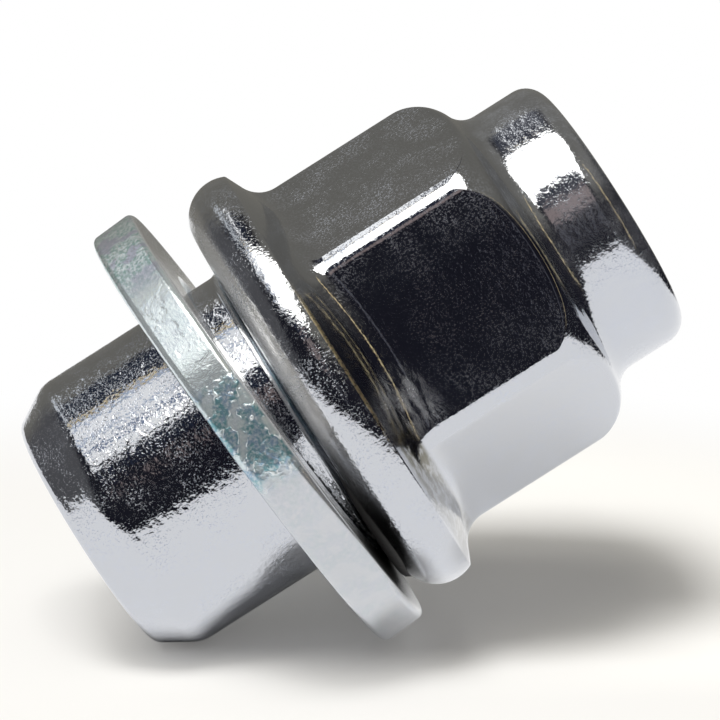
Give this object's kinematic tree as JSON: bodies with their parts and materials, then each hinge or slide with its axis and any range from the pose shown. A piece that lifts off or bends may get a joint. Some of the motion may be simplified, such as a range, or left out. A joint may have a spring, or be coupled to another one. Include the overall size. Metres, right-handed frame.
{
  "type": "lug nut",
  "caption": "Chromed wheel nut with a plain shank, round flange, hexagon and closed cap, and a loose flat washer that turns on the shank.",
  "frame": {"origin": "centre of the shank's end face, on which the nut stands", "axes": "+Z along the thread towards the closed cap, two of the hexagon's corners on the X axis"},
  "size_m": [0.0306, 0.0306, 0.038],
  "materials": {
    "chrome_plate": "bright chrome plate over forged steel",
    "zinc_plate": "blue passivated zinc plate over steel"
  },
  "bodies": {
    "nut": {"nut_body": "chrome_plate"},
    "washer": {"washer": "zinc_plate"}
  },
  "joints": [
    {"name": "washer_spin", "type": "hinge", "parent": "nut", "child": "washer", "pos_m": [0, 0, 0.0124], "axis": [0, 0, 1], "continuous": true}
  ]
}
